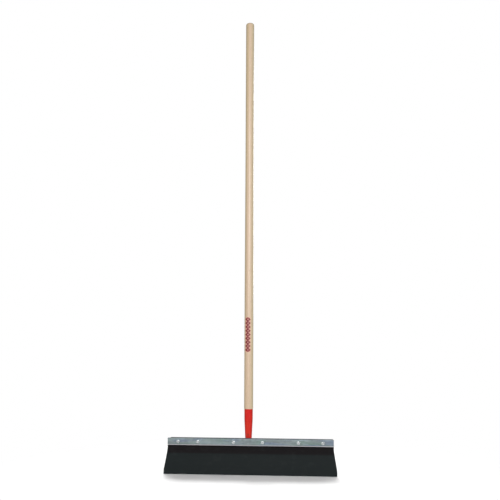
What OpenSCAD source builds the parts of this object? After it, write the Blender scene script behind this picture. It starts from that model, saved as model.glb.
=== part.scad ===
// Long-handled floor scraper: a bolted clamp holds a wide sheet-steel blade, and a wooden handle
// stands in a tapered socket behind the clamp. Millimetres. +Z runs up the handle, -Y is the
// front, where the bolt heads are, and the origin is the middle of the blade's scraping edge.

/* [Blade] */
// Width of the scraping edge
edge_w = 609.6; // [580:1:640]
// Height from the scraping edge to the underside of the clamp
blade_drop = 98.4; // [90:0.1:120]
// Thickness of the blade's sheet
blade_t = 1.8; // [1:0.1:3]
// Height of the part of the blade's ends that stands square to the scraping edge
square_end_h = 16; // [10:1:40]
// How far below the clamp the blade's ends start to flare
flare_drop = 10; // [2:1:20]
// How far below the clamp the blade bends forward
bend_drop = 28; // [20:1:40]
// Forward lean of the blade below the bend, degrees
blade_lean = 12; // [5:1:18]
// Radius of the bend
bend_r = 60; // [20:1:90]

/* [Clamp] */
// Length of the front clamp strip
strip_l = 587; // [580:0.5:600]
// Height of both clamp bars
strip_h = 25.4; // [22:0.1:30]
// Thickness of the front clamp strip
strip_t = 3.2; // [2:0.1:5]
// Length of the rear clamp bar
rear_l = 575; // [550:1:580]
// How far the rear bar is set to the right of the middle of the head
rear_shift = 3.5; // [0:0.5:4]
// Thickness of the rear clamp bar
rear_t = 4.8; // [3:0.1:6]
// How far the rear bar stands above the front strip
rear_rise = 1.2; // [0:0.1:3]
// Rounding of the bars' long edges
bar_edge_r = 1.2; // [0.4:0.1:1.4]

/* [Fasteners] */
// Nominal bolt diameter
bolt_d = 6.35; // [5:0.05:8]
// Diameter of the bolt holes
hole_d = 7.0; // [6.8:0.1:8.8]
// Size of the bolt heads and nuts across their flats
flats = 11.1; // [10:0.1:14]
// Height of a bolt head
head_h = 4.2; // [3:0.1:6]
// Length of a bolt under its head
bolt_l = 25.4; // [25:0.1:32]
// Height of a nut
nut_h = 5.6; // [4:0.1:6]
// Outer diameter of a lock washer
washer_d = 12.2; // [11:0.1:14]
// Thickness of a lock washer
washer_t = 1.6; // [1:0.1:2]
// Width of the split in a lock washer
split_w = 1.2; // [0.6:0.1:2]
// Distance of the two outer bolts from the middle of the head
outer_bolt_x = 255.6; // [240:0.1:262]

/* [Bracket] */
// How far the handle stands to the left of the middle of the head
handle_shift = 7.5; // [0:0.5:12]
// Distance of the bracket's inner bolts from the handle
inner_bolt_x = 50.8; // [40:0.1:70]
// Distance of the bracket's outer bolts from the handle
wide_bolt_x = 177.8; // [150:0.1:190]
// Length of the bracket
bracket_l = 392; // [386:1:420]
// Height of the bracket
bracket_h = 21; // [18:1:22]
// Thickness of the bracket
bracket_t = 3.2; // [2:0.1:5]

/* [Socket] */
// Height of the socket's rim above the scraping edge
rim_z = 225; // [215:1:250]
// Outer diameter of the socket at its rim
rim_d = 30.2; // [29.8:0.1:30.6]
// Outer diameter where the socket starts to narrow
waist_d = 29.8; // [28:0.1:30.2]
// Height where the socket starts to narrow
waist_z = 189; // [175:1:205]
// Outer diameter of the socket's narrow lower end
foot_d = 23.6; // [21.6:0.1:24]
// Wall thickness of the socket
wall = 1.6; // [1:0.1:2]
// How deep the socket's lower end sits in the bracket
saddle = 1.2; // [0.5:0.1:2]

/* [Handle] */
// Overall length of the wooden handle, with its tip
handle_l = 1524; // [1400:1:1600]
// Diameter of the handle above the socket
low_d = 32; // [30:0.1:34]
// Length of the straight part above the socket, before the handle tapers to its grip
low_straight = 425; // [100:5:450]
// Diameter of the handle's grip
grip_d = 30.4; // [28:0.1:32]
// Length of the straight grip, measured from the top
grip_l = 580; // [300:10:700]
// Rounding of the handle's top
top_r = 8; // [3:0.5:12]
// Rounding of the shoulder above the socket
shoulder_r = 1.6; // [0.5:0.1:3]
// Height of the tip's lower end above the scraping edge
tip_z = 130; // [128:1:134]
// Gap between the handle's tip and the socket
tip_gap = 0.1; // [0.05:0.05:0.3]

/* [Socket screw] */
// Height of the screw above the scraping edge
screw_z = 137; // [134:1:160]
// Diameter of the screw's shank
screw_d = 3.8; // [3:0.1:5]
// Diameter of the screw's head
screw_head_d = 6; // [5:0.1:8]
// Length of the screw under its head
screw_l = 14; // [10:1:16]

/* [Hidden] */
$fn = 96;
eps = 0.01;
fillet_fn = 48;
// The blade's profile: the bend's height, its tangent length and the clamp's plane
bend_z = blade_drop - bend_drop;
bend_tangent = bend_r * tan(blade_lean / 2);
clamp_y = bend_z * tan(blade_lean);
bend_steps = 8;
flare_top_z = blade_drop - flare_drop;
// The stack of the clamp, from front to back
strip_y = clamp_y - blade_t / 2 - strip_t;
rear_y = clamp_y + blade_t / 2;
bracket_y = rear_y + rear_t;
bracket_back_y = bracket_y + bracket_t;
bolt_z = blade_drop + strip_h / 2;
blade_inset = 2;
blade_top_z = blade_drop + strip_h - blade_inset;
// The handle and its socket
handle_x = -handle_shift;
foot_z = bolt_z - bracket_h / 2;
neck_rise = 3;
neck_z = blade_drop + strip_h + neck_rise;
handle_y = bracket_back_y - saddle + foot_d / 2;
handle_top_z = tip_z + handle_l;
taper_start_z = rim_z + low_straight;
tip_lead = 2;
// The bolts, from left to right, and how far each hexagon happens to be turned
bolt_x = [
    -outer_bolt_x,
    handle_x - wide_bolt_x,
    handle_x - inner_bolt_x,
    handle_x + inner_bolt_x,
    handle_x + wide_bolt_x,
    outer_bolt_x,
];
head_turn = [8, 41, 52, 17, 29, 4];
nut_turn = [33, 5, 22, 48, 11, 39];
// Clearances of the fasteners, and how their corners are cut
bolt_fit = 0.05;
bolt_r = bolt_d / 2 - bolt_fit;
washer_fit = 0.25;
screw_fit = 0.1;
screw_hole_fit = 0.4;
chamfer = 0.8;
crown_d = flats * 0.94;
crown_cone = 60;

// Points on a circle's arc, as [across, up] pairs
function arc(centre, r, from, to, steps) =
    [for (i = [0 : steps]) let (a = from + (to - from) * i / steps) centre + r * [cos(a), sin(a)]];

// Across-corners diameter of a hexagon of a given size across its flats
function hex_d(across) = across / cos(30);

// Radius of the socket's outside at a height between its neck and its waist
function socket_r(z) = (foot_d + (waist_d - foot_d) * (z - neck_z) / (waist_z - neck_z)) / 2;

// The face of the stack that bolt i's washer sits on: only the inner four go through the bracket
function seat_y(i) = abs(bolt_x[i]) < outer_bolt_x ? bracket_back_y : bracket_y;

// Turns a shape drawn along +Z so that it points to the back, +Y
module to_back() {
    rotate([-90, 0, 0]) children();
}

// A hole through the whole clamp at each bolt
module bolt_holes() {
    for (x = bolt_x)
        translate([x, strip_y - eps, bolt_z])
            to_back() cylinder(d = hole_d, h = bracket_back_y - strip_y + 2 * eps);
}

// A flat bar along X with rounded long edges; y is its front face and z its lower edge
module flat_bar(length, thick, height, y, z) {
    r = bar_edge_r;
    translate([-length / 2, y, z])
        rotate([90, 0, 90])
            linear_extrude(length) {
                translate([0, r]) square([thick, height - 2 * r]);
                translate([r, 0]) square([thick - 2 * r, height]);
                for (u = [r, thick - r])
                    for (v = [r, height - r])
                        translate([u, v]) circle(r, $fn = fillet_fn);
            }
}

// The outside of the socket as a solid of revolution
module socket_outside() {
    rotate_extrude()
        polygon([
            [0, foot_z], [foot_d / 2, foot_z], [foot_d / 2, neck_z],
            [waist_d / 2, waist_z], [rim_d / 2, rim_z], [0, rim_z],
        ]);
}

// The space inside the socket, open at both ends
module socket_inside() {
    rotate_extrude()
        polygon([
            [0, foot_z - eps], [foot_d / 2 - wall, foot_z - eps], [foot_d / 2 - wall, neck_z],
            [waist_d / 2 - wall, waist_z], [rim_d / 2 - wall, rim_z],
            [rim_d / 2 - wall, rim_z + eps], [0, rim_z + eps],
        ]);
}

// Turned handle: a straight grip, a long slight taper, a shoulder and a tapered tip
module wood_handle() {
    low_r = low_d / 2;
    grip_r = grip_d / 2;
    tip_r = socket_r(tip_z) - wall - tip_gap;
    color("burlywood")
        difference() {
            translate([handle_x, handle_y, 0])
                rotate_extrude()
                    polygon(concat(
                        [[0, tip_z], [tip_r - tip_lead, tip_z], [tip_r, tip_z + tip_lead]],
                        [[waist_d / 2 - wall - tip_gap, waist_z], [rim_d / 2 - wall - tip_gap, rim_z]],
                        arc([low_r - shoulder_r, rim_z + shoulder_r], shoulder_r, -90, 0, 6),
                        [[low_r, taper_start_z], [grip_r, handle_top_z - grip_l]],
                        arc([grip_r - top_r, handle_top_z - top_r], top_r, 0, 90, 10),
                        [[0, handle_top_z]]
                    ));
            translate([handle_x, handle_y - waist_d / 2, screw_z])
                to_back() cylinder(d = screw_d, h = waist_d / 2 - socket_r(screw_z) + screw_l);
        }
}

// Tapered steel socket with a hole for its screw
module handle_socket() {
    color("firebrick")
        translate([handle_x, handle_y, 0])
            difference() {
                socket_outside();
                socket_inside();
                translate([0, -rim_d, screw_z])
                    to_back() cylinder(d = screw_d + screw_hole_fit, h = rim_d);
            }
}

// Pan-headed screw whose head is shaped to the curve of the socket
module socket_screw() {
    front_r = socket_r(screw_z);
    dome_r = 5;
    head_rise = 1.6;
    color("indianred")
        translate([handle_x, handle_y, 0]) {
            difference() {
                intersection() {
                    translate([0, -front_r - head_rise, screw_z])
                        to_back() cylinder(d = screw_head_d, h = head_rise + 1);
                    translate([0, -front_r - head_rise + dome_r, screw_z]) sphere(dome_r);
                }
                socket_outside();
            }
            translate([0, -front_r - head_rise / 2, screw_z])
                to_back() cylinder(d = screw_d - screw_fit, h = screw_l + head_rise / 2);
        }
}

// Bracket with round ends behind the clamp; the socket's foot is let into its back
module handle_bracket() {
    run = bracket_l / 2 - bracket_h / 2;
    color("firebrick")
        difference() {
            translate([handle_x, bracket_y, bolt_z])
                to_back() linear_extrude(bracket_t) {
                    square([2 * run, bracket_h], center = true);
                    for (x = [-run, run]) translate([x, 0]) circle(bracket_h / 2);
                }
            bolt_holes();
            translate([handle_x, handle_y, foot_z - eps])
                cylinder(d = foot_d, h = bracket_h + 2 * eps);
        }
}

// Front clamp strip
module front_strip() {
    color("lightslategray")
        difference() {
            flat_bar(strip_l, strip_t, strip_h, strip_y, blade_drop);
            bolt_holes();
        }
}

// Rear clamp bar, thicker and a little shorter, and set slightly higher
module rear_bar() {
    color("slategray")
        difference() {
            translate([rear_shift, 0, 0])
                flat_bar(rear_l, rear_t, strip_h, rear_y, blade_drop + rear_rise);
            bolt_holes();
        }
}

// Blade's section across its width: upright in the clamp, then bent forward to the floor
module blade_section() {
    toe = blade_t / 2 / cos(blade_lean);
    centre = [clamp_y - bend_r, bend_z + bend_tangent];
    polygon(concat(
        [[-toe, 0]],
        arc(centre, bend_r - blade_t / 2, -blade_lean, 0, bend_steps),
        [[clamp_y - blade_t / 2, blade_top_z], [clamp_y + blade_t / 2, blade_top_z]],
        arc(centre, bend_r + blade_t / 2, 0, -blade_lean, bend_steps),
        [[toe, 0]]
    ));
}

// Blade's outline from the front: as wide as the clamp at its top, and flared to the edge
module blade_outline() {
    polygon([
        [-edge_w / 2, 0], [edge_w / 2, 0],
        [edge_w / 2, square_end_h], [strip_l / 2, flare_top_z],
        [strip_l / 2, blade_top_z], [-strip_l / 2, blade_top_z],
        [-strip_l / 2, flare_top_z], [-edge_w / 2, square_end_h],
    ]);
}

module scraper_blade() {
    depth = clamp_y + 2 * blade_t;
    color([0.13, 0.14, 0.14])
        difference() {
            intersection() {
                translate([-edge_w / 2, 0, 0]) rotate([90, 0, 90]) linear_extrude(edge_w) blade_section();
                translate([0, depth, 0]) rotate([90, 0, 0]) linear_extrude(2 * depth) blade_outline();
            }
            bolt_holes();
        }
}

// Hex bolt from the front, its head's corners rounded off by a cone
module bolt(i) {
    head_d = hex_d(flats);
    color("silver")
        translate([bolt_x[i], strip_y, bolt_z])
            to_back() {
                intersection() {
                    translate([0, 0, -head_h])
                        rotate(head_turn[i]) cylinder(d = head_d, h = head_h, $fn = 6);
                    translate([0, 0, -head_h])
                        cylinder(d1 = crown_d, d2 = crown_d + 2 * head_h * tan(crown_cone), h = head_h);
                }
                cylinder(r = bolt_r, h = bolt_l - chamfer);
                translate([0, 0, bolt_l - chamfer])
                    cylinder(r1 = bolt_r, r2 = bolt_r - chamfer, h = chamfer);
            }
}

// Split lock washer
module lock_washer(i) {
    color("gray")
        translate([bolt_x[i], seat_y(i), bolt_z])
            to_back() difference() {
                cylinder(d = washer_d, h = washer_t);
                translate([0, 0, -eps]) cylinder(d = bolt_d + washer_fit, h = washer_t + 2 * eps);
                rotate(nut_turn[i])
                    translate([0, -split_w / 2, -eps]) cube([washer_d, split_w, washer_t + 2 * eps]);
            }
}

// Hex nut, rounded off by a cone at its outer face
module nut(i) {
    color("silver")
        translate([bolt_x[i], seat_y(i) + washer_t, bolt_z])
            to_back() difference() {
                intersection() {
                    rotate(nut_turn[i]) cylinder(d = hex_d(flats), h = nut_h, $fn = 6);
                    cylinder(d1 = crown_d + 2 * nut_h * tan(crown_cone), d2 = crown_d, h = nut_h);
                }
                translate([0, 0, -eps]) cylinder(d = bolt_d, h = nut_h + 2 * eps);
            }
}

wood_handle();
handle_socket();
socket_screw();
handle_bracket();
front_strip();
rear_bar();
scraper_blade();
for (i = [0 : len(bolt_x) - 1]) {
    bolt(i);
    lock_washer(i);
    nut(i);
}
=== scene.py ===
"""The looks of a long-handled floor scraper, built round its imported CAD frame. Metres, +Z up."""
import math

import bmesh
import bpy
from mathutils import Euler, Matrix, Vector, geometry, noise


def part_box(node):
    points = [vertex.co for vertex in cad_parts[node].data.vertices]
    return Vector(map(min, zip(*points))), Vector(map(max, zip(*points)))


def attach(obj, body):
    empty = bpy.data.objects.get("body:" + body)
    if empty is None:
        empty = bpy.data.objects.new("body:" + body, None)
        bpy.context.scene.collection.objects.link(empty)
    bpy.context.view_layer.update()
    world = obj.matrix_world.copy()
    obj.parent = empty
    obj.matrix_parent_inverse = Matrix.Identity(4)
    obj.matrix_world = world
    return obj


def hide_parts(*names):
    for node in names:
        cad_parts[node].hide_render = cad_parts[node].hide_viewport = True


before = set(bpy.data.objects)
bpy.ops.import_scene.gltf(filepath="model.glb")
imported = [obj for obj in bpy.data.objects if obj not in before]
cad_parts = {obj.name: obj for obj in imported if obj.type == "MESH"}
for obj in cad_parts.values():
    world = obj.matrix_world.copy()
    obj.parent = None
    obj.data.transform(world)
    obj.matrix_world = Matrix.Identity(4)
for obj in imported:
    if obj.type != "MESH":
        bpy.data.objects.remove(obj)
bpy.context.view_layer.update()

MM = 0.001
FULL_TURN = 2 * math.pi

# ---- Places and sizes taken from the frame -------------------------------------------------

handle_low, handle_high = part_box("wood_handle")
socket_low, socket_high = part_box("handle_socket")
strip_low, strip_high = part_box("front_strip")
rear_low, rear_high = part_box("rear_bar")
bracket_low, bracket_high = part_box("handle_bracket")
blade_low, blade_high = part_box("scraper_blade")
screw_low, screw_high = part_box("socket_screw")

handle_axis = Vector(((handle_low.x + handle_high.x) / 2, (handle_low.y + handle_high.y) / 2))
bolt_z = (bracket_low.z + bracket_high.z) / 2
rim_z = socket_high.z
handle_r = (handle_high.x - handle_low.x) / 2
rim_r = (socket_high.x - socket_low.x) / 2
clamp_y = (strip_high.y + rear_low.y) / 2
bolt_names = [f"bolt_{i}" for i in range(1, 7)]

# ---- Sizes that the frame's boxes don't give -----------------------------------------------

GRIP_R = 15.2 * MM
GRIP_LENGTH = 580 * MM
LOW_STRAIGHT = 425 * MM
TOP_ROUND = 8 * MM
SHOULDER_ROUND = 1.6 * MM
TIP_GAP = 0.1 * MM
TIP_LEAD = 2 * MM
SOCKET_WALL = 1.6 * MM
SOCKET_LIP = 0.5 * MM
SEAM_DEPTH = 0.55 * MM
WAIST_Z = 189 * MM
WAIST_R = 14.9 * MM
FOOT_R = 11.8 * MM
NECK_Z = strip_high.z + 3 * MM
BLADE_LEAN = math.radians(12)
BLADE_THICK = 1.8 * MM
BEND_R = 60 * MM
BEND_Z = strip_low.z - 28 * MM
FLARE_Z = strip_low.z - 10 * MM
SQUARE_END = 16 * MM
FLARE_ROUND = 14 * MM
HOLE_R = 3.5 * MM
BAR_CORNER_R = 2 * MM
BAR_EDGE_R = 1.2 * MM
FACE_GAP = 0.02 * MM
BOLT_R = 3.125 * MM
FLATS = 11.1 * MM
HEAD_H = 4.2 * MM
HEAD_DISH = 0.12 * MM
NUT_H = 5.6 * MM
NUT_BORE_R = 3.175 * MM
FASTENER_SIDES = 72
WASHER_R = 6.1 * MM
WASHER_BORE_R = 3.3 * MM
WASHER_H = 1.6 * MM
WASHER_SPLIT = 1.2 * MM
THREAD_PITCH = 1.27 * MM
THREAD_DEPTH = 0.62 * MM
THREAD_LENGTH = 17 * MM
HEAD_CROWN_R = FLATS * 0.455
NUT_CROWN_R = FLATS * 0.46
BEARING_R = FLATS * 0.47
CHAMFER_SLOPE = math.tan(math.radians(28))
HEAD_TURNS = [8, 41, 52, 17, 29, 4]
NUT_TURNS = [33, 5, 22, 48, 11, 39]
WELD_R = 2.6 * MM
WELD_OUT = 8.4 * MM
WELD_RISE = 0.9 * MM
WELD_MARGIN = 1.5 * MM
WELD_STEPS = 60
WAVE_SEED = 11
SLIVER_AREA = 1e-9

# The printed mark: its ends, its width, how far left of the middle it stands, and its pale backing
MARK_LOW = 427.5 * MM
MARK_HIGH = 550 * MM
MARK_HALF_WIDTH = 7.8 * MM
MARK_SHIFT = -2.4 * MM
MARK_HALO = 2.2 * MM
MARK_DIAMONDS = 9

# ---- Colours ---------------------------------------------------------------------------------

WOOD = {
    "pale": (0.64, 0.49, 0.30),
    "warm": (0.66, 0.52, 0.32),
    "pink": (0.70, 0.515, 0.37),
    "olive_and_lit": (0.70, 0.61, 0.385),
    "late": (0.46, 0.335, 0.205),
    "streak": (0.47, 0.37, 0.23),
    "fibre": (0.74, 0.60, 0.43),
    "pore": (0.26, 0.15, 0.08),
    "end": (0.33, 0.24, 0.17),
    "mark_ink": (0.19, 0.002, 0.012),
    "mark_backing": (0.74, 0.36, 0.27),
}
PAINT = {"red": (0.60, 0.012, 0.014), "red_deep": (0.62, 0.028, 0.012), "screw": (0.33, 0.02, 0.008),
         "screw_deep": (0.38, 0.03, 0.012), "chip": (0.10, 0.07, 0.06), "dust": (0.45, 0.22, 0.18)}
ZINC = {
    "plain": (0.225, 0.265, 0.275),
    "green": (0.185, 0.265, 0.24),
    "blue": (0.19, 0.235, 0.31),
    "pale": (0.34, 0.42, 0.41),
    "streak": (0.13, 0.15, 0.16),
    "fleck": (0.5, 0.52, 0.53),
    "edge": (0.36, 0.37, 0.37),
    "floor_reflection": (0.60, 0.58, 0.61),
    "top_shade": (0.07, 0.08, 0.085),
}
PLATED = {"low": (0.48, 0.52, 0.53), "high": (0.70, 0.74, 0.75), "stain": (0.28, 0.31, 0.30),
          "edge": (0.9, 0.91, 0.92)}
BLACK = {
    "low": (0.0066, 0.0095, 0.0100),
    "high": (0.0104, 0.0150, 0.0156),
    "upper": (0.0070, 0.0058, 0.0066),
    "dust": (0.055, 0.06, 0.058),
    "scratch": (0.06, 0.065, 0.065),
    "clamp_shadow": (0.0012, 0.0010, 0.0012),
    "edge": (0.11, 0.115, 0.115),
}


# ---- Shader graphs ---------------------------------------------------------------------------

class Graph:
    """A material whose nodes are added by short calls. Sockets are named, and take a value or a link."""

    def __init__(self, name, **constants):
        self.material = bpy.data.materials.new(name)
        self.material.use_nodes = True
        self.tree = self.material.node_tree
        self.shader = self.tree.nodes["Principled BSDF"]
        for socket, value in constants.items():
            self.shader.inputs[socket.replace("_", " ")].default_value = value
        self.object_space = self.tree.nodes.new("ShaderNodeTexCoord").outputs["Object"]

    def feed(self, socket, value):
        if isinstance(value, bpy.types.NodeSocket):
            self.tree.links.new(value, socket)
        else:
            socket.default_value = value

    def surface(self, socket, value):
        """Links a varying value to one of the shader's own sockets."""
        self.feed(self.shader.inputs[socket], value)

    def math(self, operation, a, b=0.0):
        made = self.tree.nodes.new("ShaderNodeMath")
        made.operation = operation
        self.feed(made.inputs[0], a)
        self.feed(made.inputs[1], b)
        return made.outputs[0]

    def vector(self, operation, a, b):
        made = self.tree.nodes.new("ShaderNodeVectorMath")
        made.operation = operation
        self.feed(made.inputs[0], a)
        self.feed(made.inputs[1], b)
        return made.outputs["Value" if operation == "LENGTH" else "Vector"]

    def stretched(self, x, y, z, offset=(0, 0, 0)):
        """Object space times a scale on each axis, in pattern lengths to the metre."""
        return self.vector("ADD", self.vector("MULTIPLY", self.object_space, (x, y, z)), offset)

    def noise(self, place, detail=3.0, roughness=0.5, distortion=0.0):
        made = self.tree.nodes.new("ShaderNodeTexNoise")
        self.feed(made.inputs["Vector"], place)
        made.inputs["Scale"].default_value = 1.0
        made.inputs["Detail"].default_value = detail
        made.inputs["Roughness"].default_value = roughness
        made.inputs["Distortion"].default_value = distortion
        return made.outputs["Fac"]

    def cells(self, place):
        """Three random numbers for each cell of a Voronoi pattern."""
        made = self.tree.nodes.new("ShaderNodeTexVoronoi")
        made.inputs["Scale"].default_value = 1.0
        self.feed(made.inputs["Vector"], place)
        return self.split(made.outputs["Color"])

    def split(self, value):
        made = self.tree.nodes.new("ShaderNodeSeparateXYZ")
        self.feed(made.inputs[0], value)
        return made.outputs[0], made.outputs[1], made.outputs[2]

    def join(self, x, y, z):
        made = self.tree.nodes.new("ShaderNodeCombineXYZ")
        for socket, value in zip(made.inputs, (x, y, z)):
            self.feed(socket, value)
        return made.outputs[0]

    def ramp(self, value, *stops):
        """Colours or greys at places from 0 to 1."""
        made = self.tree.nodes.new("ShaderNodeValToRGB")
        ends = made.color_ramp.elements
        while len(ends) < len(stops):
            ends.new(0.5)
        for element, (place, shade) in zip(ends, stops):
            element.position = place
            element.color = (shade, shade, shade, 1) if isinstance(shade, (int, float)) else (*shade, 1)
        self.feed(made.inputs[0], value)
        return made.outputs[0]

    def band(self, value, low, high):
        """0 below low, 1 above high, and smooth between."""
        made = self.tree.nodes.new("ShaderNodeMapRange")
        made.interpolation_type = "SMOOTHSTEP"
        self.feed(made.inputs["Value"], value)
        made.inputs["From Min"].default_value = low
        made.inputs["From Max"].default_value = high
        return made.outputs["Result"]

    def span(self, value, low, high):
        """A number from low to high as value goes from 0 to 1."""
        return self.math("ADD", self.math("MULTIPLY", value, high - low), low)

    def mix(self, share, a, b, blend="MIX"):
        made = self.tree.nodes.new("ShaderNodeMix")
        made.data_type = "RGBA"
        made.blend_type = blend
        self.feed(made.inputs[0], share)
        for socket, value in ((made.inputs[6], a), (made.inputs[7], b)):
            self.feed(socket, value if isinstance(value, bpy.types.NodeSocket) else (*value, 1))
        return made.outputs[2]

    def tint(self, base, share, amount, colour):
        """Mixes in a colour, by an amount of a varying share."""
        return self.mix(self.math("MULTIPLY", share, amount), base, colour)

    def inverse(self, value):
        return self.math("SUBTRACT", 1.0, value)

    def bump(self, height, depth, strength=1.0, under=None):
        made = self.tree.nodes.new("ShaderNodeBump")
        made.inputs["Strength"].default_value = strength
        made.inputs["Distance"].default_value = depth
        self.feed(made.inputs["Height"], height)
        if under is not None:
            self.feed(made.inputs["Normal"], under)
        return made.outputs[0]

    def pointed_edges(self, radius):
        """Near 1 where the surface turns a corner, from a bevelled normal against the true one."""
        bevel = self.tree.nodes.new("ShaderNodeBevel")
        bevel.samples = 6
        bevel.inputs["Radius"].default_value = radius
        true = self.tree.nodes.new("ShaderNodeNewGeometry").outputs["Normal"]
        dot = self.tree.nodes.new("ShaderNodeVectorMath")
        dot.operation = "DOT_PRODUCT"
        self.feed(dot.inputs[0], bevel.outputs[0])
        self.feed(dot.inputs[1], true)
        return self.band(self.inverse(dot.outputs["Value"]), 0.01, 0.12)


def lacquered_wood():
    """Pale wood: growth rings cut along the handle, lengthwise fibres, pores and a gloss lacquer."""
    g = Graph("lacquered_wood", IOR=1.5, Coat_Weight=0.5, Coat_Roughness=0.26, Coat_IOR=1.5)
    x, y, z = g.split(g.object_space)
    x = g.math("SUBTRACT", x, handle_axis.x)
    y = g.math("SUBTRACT", y, handle_axis.y)
    # The tree's pith runs beside the handle and drifts across it, so rings come out as long arches
    wander = g.math("SUBTRACT", g.noise(g.stretched(14, 14, 1.6), detail=2), 0.5)
    sway = g.math("SUBTRACT", g.noise(g.stretched(3, 3, 0.9, (7, 2, 5)), detail=1), 0.5)
    pith_x = g.math("ADD", g.math("MULTIPLY", sway, 0.03), 0.046)
    pith_y = g.math("MULTIPLY", z, 0.006)
    away = g.vector("LENGTH", g.join(g.math("ADD", x, pith_x), g.math("ADD", y, pith_y), 0.0), (0, 0, 0))
    away = g.math("ADD", away, g.math("MULTIPLY", wander, 0.006))
    ring = g.math("FRACT", g.math("DIVIDE", away, 0.0031))
    late_wood = g.ramp(ring, (0.0, 0.12), (0.55, 0.3), (0.88, 0.95), (0.97, 0.75), (1.0, 0.12))
    fibre = g.noise(g.stretched(1100, 1100, 16), detail=4, roughness=0.6)
    streak = g.noise(g.stretched(210, 210, 3.2, (3, 1, 0)), detail=3)
    tone = g.noise(g.stretched(60, 60, 1.1, (1, 9, 2)), detail=2)
    side = g.noise(g.stretched(75, 75, 0.5, (5, 4, 8)), detail=1)
    pore = g.band(g.noise(g.stretched(1500, 1500, 70, (2, 8, 1)), detail=1), 0.66, 0.74)
    base = g.mix(g.band(tone, 0.36, 0.64), WOOD["pale"], WOOD["warm"])
    base = g.mix(g.band(side, 0.42, 0.62), base, WOOD["pink"])
    # The right side of the handle is tinted olive and lighter: partly the wood's own olive tone, partly
    # painted light standing in for a fill light from the right.
    olive_lit_side = g.band(g.math("ADD", x, g.math("MULTIPLY", sway, 0.012)), 0.001, 0.014)
    base = g.tint(base, olive_lit_side, 0.75, WOOD["olive_and_lit"])
    base = g.tint(base, late_wood, 0.6, WOOD["late"])
    base = g.tint(base, g.band(streak, 0.45, 0.75), 0.35, WOOD["streak"])
    base = g.tint(base, g.band(fibre, 0.5, 0.8), 0.3, WOOD["fibre"])
    base = g.tint(base, pore, 0.55, WOOD["pore"])
    # The top 6 mm comes out darker: partly end grain drinking more lacquer, partly painted shade on the
    # rounded crown
    end_grain_and_shade = g.band(z, handle_high.z - 6 * MM, handle_high.z)
    base = g.tint(base, end_grain_and_shade, 0.45, WOOD["end"])
    ink, backing = printed_mark(g, x, y, z, fibre)
    base = g.mix(backing, base, WOOD["mark_backing"])
    base = g.mix(ink, base, WOOD["mark_ink"])
    g.surface("Base Color", base)
    g.surface("Roughness", g.span(fibre, 0.36, 0.52))
    skin = g.noise(g.stretched(160, 160, 60), detail=2)
    relief = g.bump(g.math("SUBTRACT", late_wood, g.math("MULTIPLY", pore, 1.5)), 0.00004, 0.5)
    g.surface("Normal", relief)
    g.surface("Coat Normal", g.bump(skin, 0.00025, 0.35, relief))
    return g.material


def printed_mark(g, x, y, z, fibre):
    """A plain printed row of diamonds on the front of the handle. Returns the ink and its backing."""
    middle = (MARK_LOW + MARK_HIGH) / 2
    half_length = (MARK_HIGH - MARK_LOW) / 2
    step = 2 * half_length / MARK_DIAMONDS
    across = g.math("ABSOLUTE", g.math("SUBTRACT", x, MARK_SHIFT))
    along = g.math("ABSOLUTE", g.math("SUBTRACT", z, middle))
    front = g.math("LESS_THAN", y, 0.0)
    within = g.math("MULTIPLY", front, g.math("LESS_THAN", along, half_length))
    turn = g.math("FRACT", g.math("DIVIDE", g.math("SUBTRACT", z, MARK_LOW), step))
    rise = g.math("ABSOLUTE", g.math("SUBTRACT", g.math("MULTIPLY", turn, 2.0), 1.0))
    reach = g.math("ADD", rise, g.math("DIVIDE", across, MARK_HALF_WIDTH))
    hollow = g.band(reach, 0.28, 0.38)
    ring = g.math("MULTIPLY", hollow, g.inverse(g.band(reach, 1.28, 1.38)))
    worn = g.band(fibre, 0.2, 0.42)
    ink = g.math("MULTIPLY", g.math("MULTIPLY", ring, within), worn)
    fade_x = g.band(across, MARK_HALF_WIDTH, MARK_HALF_WIDTH + MARK_HALO)
    fade_z = g.band(along, half_length, half_length + MARK_HALO)
    backing = g.math("MULTIPLY", g.inverse(fade_x), g.inverse(fade_z))
    return ink, g.math("MULTIPLY", g.math("MULTIPLY", backing, front), 0.85)


def powder_coat(name, colour, deep, chipped=0.35):
    """Glossy sprayed powder: orange peel, slight pooling, and chips at the corners."""
    g = Graph(name, IOR=1.5, Specular_IOR_Level=0.2, Coat_Weight=0.05, Coat_Roughness=0.12)
    cloud = g.noise(g.stretched(38, 38, 24), detail=3)
    speck = g.noise(g.stretched(900, 900, 900), detail=2)
    peel = g.noise(g.stretched(520, 520, 520, (4, 4, 4)), detail=1)
    base = g.mix(g.band(cloud, 0.3, 0.7), colour, deep)
    corner = g.math("MULTIPLY", g.pointed_edges(0.9 * MM), g.band(speck, 0.5, 0.62))
    chip = g.math("MULTIPLY", corner, chipped)
    base = g.mix(chip, base, PAINT["chip"])
    dust = g.band(g.noise(g.stretched(150, 150, 40, (9, 1, 1)), detail=4), 0.56, 0.8)
    base = g.tint(base, dust, 0.12, PAINT["dust"])
    g.surface("Base Color", base)
    g.surface("Roughness", g.span(cloud, 0.3, 0.44))
    g.surface("Normal", g.bump(peel, 0.0002, 0.3))
    return g.material


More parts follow.
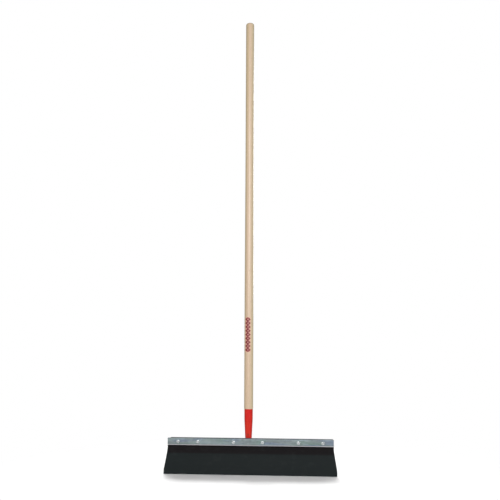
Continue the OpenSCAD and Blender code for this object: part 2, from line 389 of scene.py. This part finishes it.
def galvanised(name, level=1.0, reflection_below=None, shade_above=None):
    """Hot-dipped zinc: frozen spangle, cloudy greenish and bluish patches, streaks and dull corners.
    The level darkens it all; a lower edge may get a painted reflection, and an upper edge painted shade."""
    g = Graph(name, Metallic=1.0)

    def shade(tone):
        return tuple(level * part for part in ZINC[tone])

    bend = g.noise(g.stretched(70, 70, 70, (2, 6, 3)), detail=1)
    warped = g.vector("ADD", g.stretched(110, 170, 170), g.join(bend, bend, bend))
    spangle_x, spangle_y, spangle_z = g.cells(warped)
    fleck = g.cells(g.stretched(420, 420, 420))[0]
    cloud = g.noise(g.stretched(7, 40, 45, (6, 8, 4)), detail=3)
    patch = g.noise(g.stretched(9, 40, 26, (3, 5, 1)), detail=3)
    blue = g.noise(g.stretched(13, 30, 60, (8, 8, 2)), detail=2)
    streak = g.noise(g.stretched(16, 300, 420), detail=3)
    base = g.mix(g.band(patch, 0.38, 0.62), shade("plain"), shade("green"))
    base = g.tint(base, g.band(blue, 0.45, 0.62), 0.85, shade("blue"))
    base = g.tint(base, g.band(cloud, 0.48, 0.66), 0.6, shade("pale"))
    base = g.tint(base, g.band(streak, 0.5, 0.72), 0.3, shade("streak"))
    base = g.mix(1.0, base, g.ramp(spangle_x, (0.0, 0.84), (1.0, 1.0)), "MULTIPLY")
    base = g.tint(base, fleck, 0.1, shade("fleck"))
    base = g.tint(base, g.pointed_edges(1.2 * MM), 0.3, shade("edge"))
    height = g.split(g.object_space)[2]
    # Painted reflection: a pale band along the lower edge, standing in for the rolled edge catching light
    # from the floor.
    if reflection_below is not None:
        floor_reflection = g.inverse(g.band(height, reflection_below - 0.9 * MM, reflection_below + 0.9 * MM))
        base = g.tint(base, floor_reflection, g.span(streak, 0.7, 1.0), ZINC["floor_reflection"])
    # Painted shade: a dark band along the upper edge, standing in for the shade where the top edge turns
    # away from the light.
    if shade_above is not None:
        top_shade = g.band(height, shade_above - 0.8 * MM, shade_above + 0.8 * MM)
        base = g.tint(base, top_shade, 0.75, ZINC["top_shade"])
    g.surface("Base Color", base)
    roughness = g.span(spangle_y, 0.36, 0.5)
    g.surface("Roughness", g.math("ADD", roughness, g.math("MULTIPLY", patch, 0.1)))
    facets = g.bump(spangle_z, 0.00012, 0.35)
    g.surface("Normal", g.bump(streak, 0.00006, 0.4, facets))
    return g.material


def zinc_plate():
    """Bright plated fasteners: fine turning marks, small stains and worn corners."""
    g = Graph("zinc_plate", Metallic=1.0)
    cloud = g.noise(g.stretched(260, 260, 260), detail=4)
    stain = g.band(g.noise(g.stretched(420, 420, 420, (6, 2, 2)), detail=3), 0.55, 0.75)
    base = g.mix(cloud, PLATED["low"], PLATED["high"])
    base = g.tint(base, stain, 0.45, PLATED["stain"])
    base = g.tint(base, g.pointed_edges(0.5 * MM), 0.4, PLATED["edge"])
    g.surface("Base Color", base)
    g.surface("Roughness", g.span(cloud, 0.2, 0.34))
    g.surface("Normal", g.bump(g.noise(g.stretched(2400, 600, 2400), detail=2), 0.00003, 0.4))
    return g.material


def black_steel():
    """Black satin sheet steel: cloudy finish, fine lengthwise rub marks, dust, a scuffed lower edge, and
    painted shade above the bend and under the clamp.
    """
    g = Graph("black_steel", IOR=1.45, Specular_IOR_Level=0.1)
    z = g.split(g.object_space)[2]
    cloud = g.noise(g.stretched(11, 11, 17), detail=4, roughness=0.55)
    rub = g.noise(g.stretched(7, 60, 900, (0, 0, 3)), detail=3)
    scratch = g.noise(g.stretched(14, 60, 1300, (5, 0, 0)), detail=1, distortion=0.2)
    scratch = g.band(scratch, 0.66, 0.78)
    dust = g.band(g.noise(g.stretched(28, 28, 60, (3, 3, 3)), detail=5, roughness=0.65), 0.5, 0.85)
    low = g.inverse(g.band(z, 0.0, 26 * MM))
    base = g.mix(cloud, BLACK["low"], BLACK["high"])
    # Painted shade: the upright part above the bend is darker than the leaning part below it, as under an
    # overhead light.
    upper = g.band(z, BEND_Z - 3 * MM, BEND_Z + 4 * MM)
    base = g.mix(upper, base, BLACK["upper"])
    base = g.tint(base, dust, 0.14, BLACK["dust"])
    base = g.tint(base, scratch, g.span(low, 0.04, 0.2), BLACK["scratch"])
    # Painted shadow: a dark band on the blade just under the clamp's lower edge, where the strip shades it
    clamp_shadow_band = g.band(z, strip_low.z - 4 * MM, strip_low.z - 1.5 * MM)
    base = g.tint(base, clamp_shadow_band, 0.85, BLACK["clamp_shadow"])
    edge = g.math("MULTIPLY", g.pointed_edges(0.8 * MM), g.band(rub, 0.42, 0.6))
    base = g.tint(base, edge, 0.35, BLACK["edge"])
    g.surface("Base Color", base)
    roughness = g.span(cloud, 0.46, 0.6)
    g.surface("Roughness", g.math("ADD", roughness, g.math("MULTIPLY", clamp_shadow_band, 0.3)))
    g.surface("Normal", g.bump(rub, 0.00005, 0.3, g.bump(cloud, 0.0006, 0.25)))
    return g.material


# ---- Meshes ----------------------------------------------------------------------------------

def object_from(name, build, material, nodes, sharp=35):
    """Links a finished bmesh as a piece that stands for some CAD nodes."""
    bmesh.ops.remove_doubles(build, verts=build.verts, dist=1e-7)
    bmesh.ops.recalc_face_normals(build, faces=build.faces)
    mesh = bpy.data.meshes.new(name)
    build.to_mesh(mesh)
    build.free()
    mesh.shade_smooth()
    mesh.set_sharp_from_angle(angle=math.radians(sharp))
    mesh.materials.append(material)
    piece = bpy.data.objects.new(name, mesh)
    bpy.context.scene.collection.objects.link(piece)
    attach(piece, "root")
    if nodes:
        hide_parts(*nodes)
    return piece


def add_ring(build, points):
    return [build.verts.new(p) for p in points]


def bridge(build, ring_a, ring_b):
    """Quads between two rings of the same length."""
    count = len(ring_a)
    for i in range(count):
        j = (i + 1) % count
        build.faces.new((ring_a[i], ring_a[j], ring_b[j], ring_b[i]))


def cap(build, ring, centre):
    """A fan that closes a ring at a point."""
    hub = build.verts.new(centre)
    for i in range(len(ring)):
        build.faces.new((ring[i], ring[(i + 1) % len(ring)], hub))


def rounded(points, radii, steps=6):
    """A closed outline with each corner turned into an arc of its own radius."""
    out = []
    count = len(points)
    for i, (corner, radius) in enumerate(zip(points, radii)):
        corner = Vector(corner)
        back = Vector(points[i - 1]) - corner
        ahead = Vector(points[(i + 1) % count]) - corner
        half = back.angle(ahead) / 2
        reach = radius / math.tan(half)
        start = corner + back.normalized() * reach
        end = corner + ahead.normalized() * reach
        centre = corner + (back.normalized() + ahead.normalized()).normalized() * radius / math.sin(half)
        spoke_a, spoke_b = start - centre, end - centre
        sweep = spoke_a.angle_signed(spoke_b)
        for k in range(steps + 1):
            turn = -sweep * k / steps
            c, s = math.cos(turn), math.sin(turn)
            out.append(centre + Vector((c * spoke_a.x - s * spoke_a.y, s * spoke_a.x + c * spoke_a.y)))
    return out


def circle_points(centre, radius, count, turn=0.0):
    return [
        Vector((centre[0] + radius * math.cos(turn + FULL_TURN * i / count),
                centre[1] + radius * math.sin(turn + FULL_TURN * i / count)))
        for i in range(count)
    ]


def shifted_loop(loop, distance):
    """An outline moved to its left by a distance, corner by corner."""
    out = []
    count = len(loop)
    for i in range(count):
        before = (loop[i] - loop[i - 1]).normalized()
        after = (loop[(i + 1) % count] - loop[i]).normalized()
        left = Vector((-before.y - after.y, before.x + after.x))
        scale = max(0.35, left.length / 2)
        out.append(loop[i] + left.normalized() * distance / scale)
    return out


def inside(point, loop):
    """Whether a point is inside a closed outline."""
    hit = False
    for i in range(len(loop)):
        a, b = loop[i - 1], loop[i]
        if (a.y > point.y) != (b.y > point.y):
            if point.x < a.x + (point.y - a.y) * (b.x - a.x) / (b.y - a.y):
                hit = not hit
    return hit


def resampled(loop, spacing):
    """The same outline with points no further apart than the spacing."""
    out = []
    for i in range(len(loop)):
        a, b = loop[i], loop[(i + 1) % len(loop)]
        pieces = max(1, math.ceil((b - a).length / spacing))
        out += [a.lerp(b, k / pieces) for k in range(pieces)]
    return out


def in_sheet(point, loops):
    """Whether a point is inside the first loop and outside the others, which are holes."""
    return inside(point, loops[0]) and not any(inside(point, hole) for hole in loops[1:])


def edge_section(radius, thick, steps=4):
    """(inset, depth) pairs down a plate's rounded side, from its front face to its back."""
    front = []
    for k in range(steps + 1):
        turn = math.pi / 2 * k / steps
        front.append((radius * (1 - math.sin(turn)), radius * (1 - math.cos(turn))))
    return front + [(inset, thick - depth) for inset, depth in reversed(front)]


def face_grid(outline, loops, spacing):
    """Grid points inside the sheet, clear of its sides and its holes."""
    low = Vector((min(p.x for p in outline), min(p.y for p in outline)))
    high = Vector((max(p.x for p in outline), max(p.y for p in outline)))
    columns = math.ceil((high.x - low.x) / spacing)
    rows = math.ceil((high.y - low.y) / spacing)
    grid = []
    for i in range(1, columns):
        for j in range(1, rows):
            point = Vector((low.x + (high.x - low.x) * i / columns, low.y + (high.y - low.y) * j / rows))
            clear = all(
                (point - q).length > spacing * 0.45 for loop in loops for q in loop
                if abs(q.x - point.x) < spacing
            )
            if clear and in_sheet(point, loops):
                grid.append(point)
    return grid


def face_triangles(loops, grid):
    """Points and triangles that fill the first loop and leave the others open."""
    flat = [p for loop in loops for p in loop] + grid
    edges = []
    start = 0
    for loop in loops:
        edges += [(start + i, start + (i + 1) % len(loop)) for i in range(len(loop))]
        start += len(loop)
    points, _, faces, _, _, _ = geometry.delaunay_2d_cdt(flat, edges, [], 0, 1e-9)
    kept = []
    for a, b, c in faces:
        middle = (points[a] + points[b] + points[c]) / 3
        is_sliver = geometry.area_tri(points[a], points[b], points[c]) < SLIVER_AREA
        if not is_sliver and in_sheet(middle, loops):
            kept.append((a, b, c))
    return points, kept


def sheet_metal(build, outline, holes, thick, edge_r, hole_edge_r, place, spacing):
    """A plate with rounded edges and real holes. The outline runs anticlockwise in the plate's own
    (u, v); place(u, v, w) bends it into the world, with w from 0 at the front to thick at the back."""
    sides = [(resampled(outline, spacing), edge_r)]
    sides += [(list(reversed(circle_points(c, HOLE_R, 32))), hole_edge_r) for c in holes]
    front_loops = []
    for loop, radius in sides:
        section = edge_section(radius, thick)
        loops = [(shifted_loop(loop, inset), depth) for inset, depth in section]
        made = [add_ring(build, [place(p.x, p.y, depth) for p in ring]) for ring, depth in loops]
        for a, b in zip(made, made[1:]):
            bridge(build, a, b)
        front_loops.append(loops[0][0])
    points, triangles = face_triangles(front_loops, face_grid(outline, front_loops, spacing))
    for w in (0, thick):
        verts = [build.verts.new(place(p.x, p.y, w)) for p in points]
        for a, b, c in triangles:
            build.faces.new((verts[a], verts[b], verts[c]))
    loose = [v for v in build.verts if not v.link_faces]
    bmesh.ops.delete(build, geom=loose, context="VERTS")


def flat_place(front_y):
    """Stands a plate upright across the tool, with its front face at a given y."""
    return lambda u, v, w: Vector((u, front_y + w, v))


def turned(build, profile, centre, count, seam=None):
    """A closed lathe shape from (radius, z) points. seam(angle, radius, z) may change the radius."""
    first = None
    last = None
    for radius, z in profile:
        ring = []
        for i in range(count):
            a = FULL_TURN * i / count
            r = seam(a, radius, z) if seam else radius
            ring.append((centre[0] + r * math.cos(a), centre[1] + r * math.sin(a), z))
        made = add_ring(build, ring)
        if last is not None:
            bridge(build, last, made)
        first = first or made
        last = made
    return first, last


def socket_outer_r(z):
    """Outside radius of the socket at a height."""
    if z <= NECK_Z:
        return FOOT_R
    if z <= WAIST_Z:
        share = (z - NECK_Z) / (WAIST_Z - NECK_Z)
        return FOOT_R + (WAIST_R - FOOT_R) * share
    return WAIST_R + (rim_r - WAIST_R) * (z - WAIST_Z) / (rim_z - WAIST_Z)


def arc_points(centre, radius, start, end, steps):
    return [
        (centre[0] + radius * math.cos(start + (end - start) * k / steps),
         centre[1] + radius * math.sin(start + (end - start) * k / steps))
        for k in range(steps + 1)
    ]


def spread(start, end, count):
    """Points between two profile points, both left out."""
    return [
        (start[0] + (end[0] - start[0]) * k / count, start[1] + (end[1] - start[1]) * k / count)
        for k in range(1, count)
    ]


def make_handle(material):
    """Turned handle, with its tip inside the socket."""
    tip = handle_low.z
    top = handle_high.z
    inner = lambda z: socket_outer_r(z) - SOCKET_WALL - TIP_GAP
    profile = [(inner(tip) - TIP_LEAD, tip), (inner(tip), tip + TIP_LEAD)]
    profile += [(inner(z), z) for z in (NECK_Z + 20 * MM, WAIST_Z, WAIST_Z + 12 * MM, rim_z)]
    shoulder = arc_points((handle_r - SHOULDER_ROUND, rim_z + SHOULDER_ROUND), SHOULDER_ROUND,
                          -math.pi / 2, 0, 8)
    profile += shoulder
    taper_low = (handle_r, rim_z + LOW_STRAIGHT)
    taper_high = (GRIP_R, top - GRIP_LENGTH)
    profile += spread(shoulder[-1], taper_low, 16) + [taper_low]
    profile += spread(taper_low, taper_high, 16) + [taper_high]
    crown = arc_points((GRIP_R - TOP_ROUND, top - TOP_ROUND), TOP_ROUND, 0, math.pi / 2, 14)
    profile += spread(taper_high, crown[0], 20) + crown
    profile += [(4 * MM, top), (1.5 * MM, top)]
    build = bmesh.new()
    first, last = turned(build, profile, handle_axis, 96)
    cap(build, first, (*handle_axis, tip))
    cap(build, last, (*handle_axis, top))
    return object_from("handle_wood", build, material, ["wood_handle"], sharp=50)


def make_socket(material):
    """Rolled tube with a closed seam down its back and a rounded rim."""
    bottom = socket_low.z
    lip = SOCKET_LIP
    seam_angle = math.pi / 2

    def seam(angle, radius, z):
        """Dents the outside along the seam, and leaves the inside as it is."""
        if radius <= socket_outer_r(z) - SOCKET_WALL / 2:
            return radius
        gap = abs(angle - seam_angle) * radius
        return radius - SEAM_DEPTH * math.exp(-(gap / SEAM_DEPTH) ** 2)

    heights = [bottom + lip + (rim_z - bottom - 2 * lip) * k / 60 for k in range(61)]
    outer = [(socket_outer_r(z), z) for z in heights]
    rim = arc_points((rim_r - lip, rim_z - lip), lip, 0, math.pi, 6)
    foot = arc_points((FOOT_R - lip, bottom + lip), lip, -math.pi, 0, 6)
    inner = [(socket_outer_r(z) - SOCKET_WALL, z) for z in reversed(heights[1:-1])]
    build = bmesh.new()
    first, last = turned(build, foot[1:-1] + outer + rim[1:] + inner, handle_axis, 160, seam)
    bridge(build, last, first)
    return object_from("socket_tube", build, material, ["handle_socket"], sharp=40)


def make_bracket(material):
    """Plate with round ends behind the clamp."""
    lo, hi = bracket_low, bracket_high
    end_r = (hi.z - lo.z) / 2 * 0.98
    corners = [(lo.x, lo.z), (hi.x, lo.z), (hi.x, hi.z), (lo.x, hi.z)]
    outline = rounded(corners, [end_r] * 4, 14)
    holes = [c for c in bolt_centres() if lo.x < c[0] < hi.x]
    build = bmesh.new()
    sheet_metal(build, outline, holes, hi.y - lo.y - FACE_GAP, 0.6 * MM, 0.3 * MM,
                flat_place(lo.y), 6 * MM)
    return object_from("bracket_plate", build, material, ["handle_bracket"])


def bolt_centres():
    """(x, z) of each bolt, from the middle of its box."""
    return [((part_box(n)[0].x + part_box(n)[1].x) / 2, bolt_z) for n in bolt_names]


def make_bar(name, node, material):
    """A galvanised flat bar with rolled edges."""
    lo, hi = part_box(node)
    outline = rounded([(lo.x, lo.z), (hi.x, lo.z), (hi.x, hi.z), (lo.x, hi.z)], [BAR_CORNER_R] * 4)
    build = bmesh.new()
    sheet_metal(build, outline, bolt_centres(), hi.y - lo.y, BAR_EDGE_R, 0.3 * MM,
                flat_place(lo.y), 7 * MM)
    return object_from(name, build, material, [node])


def blade_middle(z):
    """Depth and lean of the blade's middle surface at a height."""
    tangent = BEND_R * math.tan(BLADE_LEAN / 2)
    top = BEND_Z + tangent
    start = BEND_Z - tangent * math.cos(BLADE_LEAN)
    if z >= top:
        return clamp_y, 0.0
    if z <= start:
        return z * math.tan(BLADE_LEAN), BLADE_LEAN
    lean = math.asin((top - z) / BEND_R)
    return clamp_y - BEND_R + BEND_R * math.cos(lean), lean


def make_blade(material):
    """Sheet-steel blade, upright in the clamp and bent forward to the floor, with faint waves."""
    half_edge = (blade_high.x - blade_low.x) / 2
    half_top = strip_high.x
    top = blade_high.z
    corners = [(-half_edge, 0), (half_edge, 0), (half_edge, SQUARE_END), (half_top, FLARE_Z),
               (half_top, top), (-half_top, top), (-half_top, FLARE_Z), (-half_edge, SQUARE_END)]
    edge_corner, top_corner = 1.2 * MM, 1.0 * MM
    flare = [FLARE_ROUND] * 2
    outline = rounded(corners, [edge_corner] * 2 + flare + [top_corner] * 2 + flare)

    def place(u, v, w):
        y, lean = blade_middle(v)
        across = w - BLADE_THICK / 2
        free = min(1.0, max(0.0, (BEND_Z - v) / BEND_Z))
        wave = 0.35 * MM * free * noise.noise(Vector((u * 9, v * 6, WAVE_SEED)))
        level = min(1.0, v / (2 * MM))
        return Vector((u, y + across * math.cos(lean) + wave, v - across * math.sin(lean) * level))

    build = bmesh.new()
    sheet_metal(build, outline, bolt_centres(), BLADE_THICK, 0.35 * MM, 0.2 * MM, place, 6 * MM)
    return object_from("blade_sheet", build, material, ["scraper_blade"])


def hex_radius(angle):
    """Distance from the centre of a head or nut to its side, with slightly rounded corners."""
    sector = math.fmod(angle, math.pi / 3) - math.pi / 6
    sharp = FLATS / 2 / math.cos(sector)
    return min(sharp, FLATS / 2 / math.cos(math.pi / 6) - 0.12 * MM)


def chamfer(radius, crown_r):
    """How far a hexagon's face falls away outside its crown circle."""
    return max(0.0, radius - crown_r) * CHAMFER_SLOPE


def towards_back(x, front_y, z, turn):
    """Maps a fastener drawn round +Z to the tool's +Y, turned by an angle."""
    c, s = math.cos(turn), math.sin(turn)
    return lambda p: Vector((x + p[0] * c - p[1] * s, front_y + p[2], z - (p[0] * s + p[1] * c)))


def polar_ring(build, place, radius_at, z_at, count):
    ring = []
    for i in range(count):
        a = FULL_TURN * i / count
        r = radius_at(a)
        ring.append(place((r * math.cos(a), r * math.sin(a), z_at(a, r))))
    return add_ring(build, ring)


def add_rings(build, place, rings, count):
    """Rings given as (radius, height) or functions of the angle, joined in order."""
    made = []
    for radius, height in rings:
        radius_at = radius if callable(radius) else (lambda a, r=radius: r)
        z_at = height if callable(height) else (lambda a, r, h=height: h)
        made.append(polar_ring(build, place, radius_at, z_at, count))
    for a, b in zip(made, made[1:]):
        bridge(build, a, b)
    return made


def threaded_radius(angle, height):
    """Radius of a rounded vee thread."""
    phase = (height / THREAD_PITCH - angle / FULL_TURN) % 1.0
    crest = abs(2 * phase - 1)
    return BOLT_R - THREAD_DEPTH * (1 - min(1.0, crest * 1.25))


def make_bolt(index, material):
    """Hex bolt: chamfered head, plain shank, and a cut thread towards its end."""
    name = bolt_names[index]
    lo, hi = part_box(name)
    x = (lo.x + hi.x) / 2
    seat = lo.y + HEAD_H
    place = towards_back(x, seat, bolt_z, math.radians(HEAD_TURNS[index]))
    build = bmesh.new()
    crown = HEAD_CROWN_R
    face = -HEAD_H
    dish = face + HEAD_DISH
    halfway = lambda a: (crown + hex_radius(a)) / 2
    top_of_side = lambda a, r: face + chamfer(r, crown)
    head = add_rings(build, place, [
        (crown * 0.3, dish), (crown * 0.72, dish), (crown * 0.86, face), (crown, face),
        (halfway, top_of_side), (hex_radius, top_of_side), (hex_radius, -0.35 * MM),
        (lambda a: hex_radius(a) - 0.25 * MM, -0.3 * MM), (BEARING_R, -0.3 * MM), (BEARING_R, 0),
        (BOLT_R, 0),
    ], FASTENER_SIDES)
    cap(build, head[0], place((0, 0, dish)))
    end = hi.y - seat
    thread_start = end - THREAD_LENGTH
    thread_end = end - 0.9 * MM
    steps = int((thread_end - thread_start) / (THREAD_PITCH / 8))
    shank = [(BOLT_R, 2 * MM), (BOLT_R, thread_start - 0.3 * MM)]
    for k in range(steps + 1):
        height = thread_start + (thread_end - thread_start) * k / steps
        shank.append((lambda a, h=height: threaded_radius(a, h), height))
    shank += [(BOLT_R - 0.75 * MM, end - 0.15 * MM), (BOLT_R - 0.95 * MM, end)]
    rings = add_rings(build, place, shank, FASTENER_SIDES)
    bridge(build, head[-1], rings[0])
    cap(build, rings[-1], place((0, 0, end)))
    return object_from(f"hex_bolt_{index + 1}", build, material, [name], sharp=32)


def behind_clamp(index, node):
    """The placing of a washer or nut on a bolt."""
    x = bolt_centres()[index][0]
    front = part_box(node)[0].y
    return towards_back(x, front, bolt_z, math.radians(NUT_TURNS[index]))


def make_nut(index, material):
    """Hex nut, chamfered on both faces."""
    name = f"nut_{index + 1}"
    build = bmesh.new()
    crown = NUT_CROWN_R
    ease = 0.6 * MM
    throat, mouth = NUT_BORE_R + 0.05 * MM, NUT_BORE_R + ease
    halfway = lambda a: (crown + hex_radius(a)) / 2
    lower = lambda a, r: chamfer(r, crown)
    upper = lambda a, r: NUT_H - chamfer(r, crown)
    rings = add_rings(build, behind_clamp(index, name), [
        (throat, ease), (mouth, 0), (crown, 0), (halfway, lower), (hex_radius, lower),
        (hex_radius, upper), (halfway, upper), (crown, NUT_H), (mouth, NUT_H), (throat, NUT_H - ease),
    ], FASTENER_SIDES)
    bridge(build, rings[-1], rings[0])
    return object_from(f"hex_nut_{index + 1}", build, material, [name], sharp=32)


def make_washer(index, material):
    """Split lock washer: a nearly closed ring whose ends are cut on the slant."""
    name = f"lock_washer_{index + 1}"
    place = behind_clamp(index, name)
    build = bmesh.new()
    gap = WASHER_SPLIT / WASHER_R
    soft = 0.2 * MM
    section = [
        (WASHER_BORE_R, soft), (WASHER_BORE_R + soft, 0), (WASHER_R - soft, 0), (WASHER_R, soft),
        (WASHER_R, WASHER_H - soft), (WASHER_R - soft, WASHER_H), (WASHER_BORE_R + soft, WASHER_H),
        (WASHER_BORE_R, WASHER_H - soft),
    ]
    steps = 60
    rings = []
    for k in range(steps + 1):
        ring = []
        for r, h in section:
            slant = (h / WASHER_H - 0.5) * gap * 1.2
            a = gap / 2 + slant + (FULL_TURN - gap) * k / steps
            ring.append(place((r * math.cos(a), r * math.sin(a), h)))
        rings.append(add_ring(build, ring))
    for a, b in zip(rings, rings[1:]):
        bridge(build, a, b)
    build.faces.new(rings[0])
    build.faces.new(rings[-1])
    piece_name = f"split_washer_{index + 1}"
    return object_from(piece_name, build, material, [name], sharp=32)


def make_screw(material):
    """Pan-headed screw with a cross recess, standing on the socket's curve."""
    lo, hi = screw_low, screw_high
    x, z = (lo.x + hi.x) / 2, (lo.z + hi.z) / 2
    place = towards_back(x, lo.y, z, math.radians(25))
    head_r = (hi.x - lo.x) / 2
    head_h = 2.4 * MM
    shank_r = 1.85 * MM
    length = hi.y - lo.y
    dome_r = 5 * MM
    recess_depth = 1.0 * MM
    recess_half_width, recess_reach = 0.42 * MM, 1.7 * MM

    def face(a, r):
        dome = dome_r - math.sqrt(max(0.0, dome_r ** 2 - r ** 2))
        across = min(abs(r * math.sin(a)), abs(r * math.cos(a)))
        in_recess = across < recess_half_width and r < recess_reach
        return dome + (recess_depth if in_recess else 0.0)

    sides = 96
    dome_rings = 14
    radii = [head_r * k / dome_rings for k in range(1, dome_rings + 1)]
    build = bmesh.new()
    rings = [polar_ring(build, place, lambda a, r=r: r, face, sides) for r in radii]
    rings += add_rings(build, place, [
        (head_r, head_h - 0.1 * MM), (head_r - 0.3 * MM, head_h), (shank_r, head_h),
        (shank_r, length - 3 * MM), (0.5 * MM, length),
    ], sides)
    for a, b in zip(rings[:dome_rings], rings[1:dome_rings + 1]):
        bridge(build, a, b)
    cap(build, rings[0], place((0, 0, recess_depth)))
    cap(build, rings[-1], place((0, 0, length)))
    return object_from("cross_screw", build, material, ["socket_screw"], sharp=30)


def weld_bead(name, path, outward, material):
    """A run of weld: a fat rippled cord half sunk in its corner."""
    build = bmesh.new()
    around = 14
    rings = []
    step_count = len(path) - 1
    along = (path[-1] - path[0]).normalized()
    side = along.cross(outward).normalized()
    for k, p in enumerate(path):
        share = k / step_count
        taper = min(1.0, 6 * share + 0.25, 6 * (1 - share) + 0.25)
        scales = math.sin(FULL_TURN * share * step_count / 6)
        r = WELD_R * taper * (1 + 0.13 * scales + 0.05 * noise.noise(p * 900))
        ring = []
        for i in range(around):
            a = FULL_TURN * i / around
            ring.append(p + r * (side * math.cos(a) + outward * math.sin(a)))
        rings.append(add_ring(build, ring))
    for a, b in zip(rings, rings[1:]):
        bridge(build, a, b)
    cap(build, rings[0], path[0])
    cap(build, rings[-1], path[-1])
    return object_from(name, build, material, [], sharp=60)


def make_welds(material):
    """Two fillet welds that fill the creases between the socket's foot and the bracket."""
    y = bracket_high.y + WELD_RISE
    low, high = bracket_low.z + WELD_MARGIN, bracket_high.z - WELD_MARGIN
    for name, side in (("weld_left", -1), ("weld_right", 1)):
        x = handle_axis.x + side * WELD_OUT
        path = [Vector((x, y, low + (high - low) * k / WELD_STEPS)) for k in range(WELD_STEPS + 1)]
        weld_bead(name, path, Vector((side * 0.6, 0.8, 0)).normalized(), material)


# ---- Lights, floor and camera -----------------------------------------------------------------

FLOOR_R = 1.1
FLOOR_GAP = 0.2 * MM
FADE_START = 0.5
FADE_END = 1.0
CAMERA_PLACE = (0.2149, -2.8, 0.4778)
CAMERA_LENS = 56.45
CAMERA_TILT = 6.378
CAMERA_TURN = 4.431
CAMERA_ROLL = 0.232


def look_at(place, target):
    return (Vector(target) - Vector(place)).to_track_quat("-Z", "Y").to_euler()


def area_light(name, place, target, width, height, power):
    data = bpy.data.lights.new(name, "AREA")
    data.shape = "RECTANGLE"
    data.size = width
    data.size_y = height
    data.energy = power
    lamp = bpy.data.objects.new(name, data)
    lamp.location = place
    lamp.rotation_euler = look_at(place, target)
    lamp.visible_camera = False
    bpy.context.scene.collection.objects.link(lamp)


def floor_sun(floor, elevation, bearing, softness, strength):
    """An even light from behind that falls on the floor alone, so that the tool's shadow comes forward."""
    data = bpy.data.lights.new("floor_sun", "SUN")
    data.energy = strength
    data.angle = math.radians(softness)
    lamp = bpy.data.objects.new("floor_sun", data)
    lamp.rotation_euler = (math.radians(elevation - 90), 0, math.radians(bearing))
    bpy.context.scene.collection.objects.link(lamp)
    lit = bpy.data.collections.new("floor_only")
    lit.objects.link(floor)
    lamp.light_linking.receiver_collection = lit


def make_world(strength):
    """White behind the object, and a gentler light from all round."""
    world = bpy.data.worlds.new("studio")
    world.use_nodes = True
    bpy.context.scene.world = world
    nodes = world.node_tree.nodes
    background = nodes["Background"]
    background.inputs["Color"].default_value = (1, 1, 1, 1)
    seen = nodes.new("ShaderNodeLightPath").outputs["Is Camera Ray"]
    level = nodes.new("ShaderNodeMapRange")
    level.inputs["To Min"].default_value = strength
    level.inputs["To Max"].default_value = 1.0
    world.node_tree.links.new(seen, level.inputs["Value"])
    world.node_tree.links.new(level.outputs[0], background.inputs["Strength"])


def make_floor():
    """Round white floor that fades out into the backdrop."""
    build = bmesh.new()
    bmesh.ops.create_circle(build, cap_ends=True, radius=FLOOR_R, segments=96)
    mesh = bpy.data.meshes.new("floor")
    build.to_mesh(mesh)
    build.free()
    floor = bpy.data.objects.new("floor", mesh)
    floor.location = (0, 0, -FLOOR_GAP)
    bpy.context.scene.collection.objects.link(floor)
    g = Graph("floor_white", Roughness=0.9, Specular_IOR_Level=0.1)
    seen = g.tree.nodes.new("ShaderNodeLightPath").outputs["Is Camera Ray"]
    g.surface("Base Color", g.mix(seen, (0.4, 0.4, 0.4), (0.57, 0.57, 0.57)))
    fade = g.band(g.vector("LENGTH", g.object_space, (0, 0, 0)), FADE_START, FADE_END)
    g.surface("Alpha", g.inverse(fade))
    mesh.materials.append(g.material)
    return floor


def make_camera():
    """A little to the right of the tool and well below the middle of its handle, tilted up."""
    data = bpy.data.cameras.new("camera")
    data.sensor_width = 36
    data.lens = CAMERA_LENS
    camera = bpy.data.objects.new("camera", data)
    aim = Euler((math.radians(90 + CAMERA_TILT), 0, math.radians(CAMERA_TURN))).to_matrix()
    roll = Matrix.Rotation(math.radians(CAMERA_ROLL), 3, "Z")
    camera.rotation_euler = (aim @ roll).to_euler()
    camera.location = CAMERA_PLACE
    bpy.context.scene.collection.objects.link(camera)
    bpy.context.scene.camera = camera


# ---- Scene -----------------------------------------------------------------------------------

make_camera()
wood = lacquered_wood()
red = powder_coat("red_powder_coat", PAINT["red"], PAINT["red_deep"])
red_head = powder_coat("red_screw_head", PAINT["screw"], PAINT["screw_deep"], chipped=0.8)
zinc = galvanised("galvanised_front", level=0.98, reflection_below=strip_low.z + 3 * MM,
                  shade_above=strip_high.z - 1.6 * MM)
# Painted shade: the rear bar uses a darker copy of the same zinc, for the shade it sits in behind the
# front strip.
shaded_rear_zinc = galvanised("galvanised_rear_shaded", level=0.75, shade_above=rear_high.z - 2.4 * MM)
plated = zinc_plate()
black = black_steel()

make_handle(wood)
make_socket(red)
make_bracket(red)
make_welds(red)
make_screw(red_head)
make_bar("clamp_strip_front", "front_strip", zinc)
make_bar("clamp_bar_rear", "rear_bar", shaded_rear_zinc)
make_blade(black)
for number in range(len(bolt_names)):
    make_bolt(number, plated)
    make_washer(number, plated)
    make_nut(number, plated)

make_world(strength=0.3)
backdrop = make_floor()
area_light("front_key", (0.34, -2.75, 1.5), (0, 0, 0.9), 0.9, 1.3, 38)
area_light("low_fill", (-0.35, -2.6, 0.9), (0, 0, 0.3), 0.8, 0.8, 12)
area_light("left_strip", (-1.9, -2.1, 1.55), (0, 0, 1.0), 0.3, 0.9, 9)
area_light("right_strip", (2.2, -2.0, 1.1), (0, 0, 0.7), 0.4, 1.2, 13)
area_light("back_fill", (0.9, 2.2, 1.5), (0, 0, 0.8), 1.2, 1.6, 30)
floor_sun(backdrop, elevation=38, bearing=12, softness=26, strength=5.0)

bpy.context.scene.view_settings.view_transform = "Standard"
